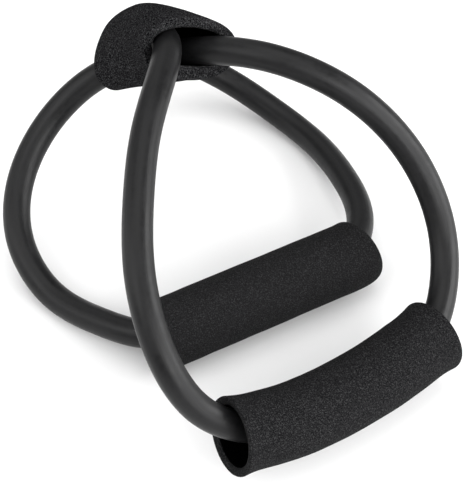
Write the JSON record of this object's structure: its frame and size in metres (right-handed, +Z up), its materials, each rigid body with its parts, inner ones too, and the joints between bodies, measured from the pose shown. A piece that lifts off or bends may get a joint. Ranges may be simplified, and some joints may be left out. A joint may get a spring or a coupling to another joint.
{
  "type": "resistance band",
  "caption": "Figure-eight resistance band: a closed ring of round elastic tube, pinched in the middle by a foam sleeve, with a foam hand grip at the far side of each loop.",
  "frame": {"origin": "the floor, under the middle of the band's bounding box, with the band lying as it is stored: rear loop on the floor and sleeve raised", "axes": "+Z up, +Y from the front grip's side to the rear loop's side, +X to the right seen from the front grip"},
  "size_m": [0.1951, 0.2382, 0.1155],
  "materials": {
    "tube_rubber": "satin black extruded rubber",
    "grip_foam": "matt black closed-cell foam with a fine open grain",
    "connector_plastic": "matt moulded",
    "clamp_steel": "plain rolled"
  },
  "bodies": {
    "rear_loop": {"rear_tube_left": "tube_rubber", "rear_tube_right": "tube_rubber", "tube_end_left": "tube_rubber", "tube_end_right": "tube_rubber", "tube_connector": "connector_plastic", "clamp_ring_left": "clamp_steel", "clamp_ring_right": "clamp_steel"},
    "rear_handle": {"rear_grip": "grip_foam"},
    "centre": {"crossing_tube_upper": "tube_rubber", "crossing_tube_lower": "tube_rubber"},
    "sleeve": {"centre_sleeve": "grip_foam"},
    "front_loop": {"front_tube_left": "tube_rubber", "front_tube_right": "tube_rubber"},
    "front_end": {"front_tube_core": "tube_rubber"},
    "front_handle": {"front_grip": "grip_foam"}
  },
  "joints": [
    {"name": "rear_grip_spin", "type": "hinge", "parent": "rear_loop", "child": "rear_handle", "pos_m": [0.0133, -0.0209, 0.015], "axis": [0.8776, 0.4794, 0], "range_deg": [-20, 20]},
    {"name": "rear_stretch", "type": "slide", "parent": "rear_loop", "child": "centre", "axis": [-0.4449, 0.7398, 0.5048], "range_m": [0, 0.2], "stiffness_N_per_m": 250, "deforming": ["rear_tube_left", "rear_tube_right"]},
    {"name": "sleeve_slide", "type": "slide", "parent": "centre", "child": "sleeve", "axis": [0.5902, -0.6062, 0.5331], "range_m": [-0.0025, 0.0025]},
    {"name": "fold", "type": "hinge", "parent": "centre", "child": "front_loop", "pos_m": [-0.014, 0.039, 0.1], "axis": [-0.8984, -0.4392, 0], "range_deg": [-2, 90], "stiffness_Nm_per_rad": 0.5, "springref_deg": 5.39, "deforming": ["front_tube_left", "front_tube_right"]},
    {"name": "front_stretch", "type": "slide", "parent": "front_loop", "child": "front_end", "axis": [0.456, -0.89, 0], "range_m": [0, 0.2], "stiffness_N_per_m": 250},
    {"name": "front_grip_spin", "type": "hinge", "parent": "front_end", "child": "front_handle", "pos_m": [0.0433, -0.0769, 0.0266], "axis": [0.816, 0.57, -0.096], "range_deg": [-20, 20]}
  ]
}
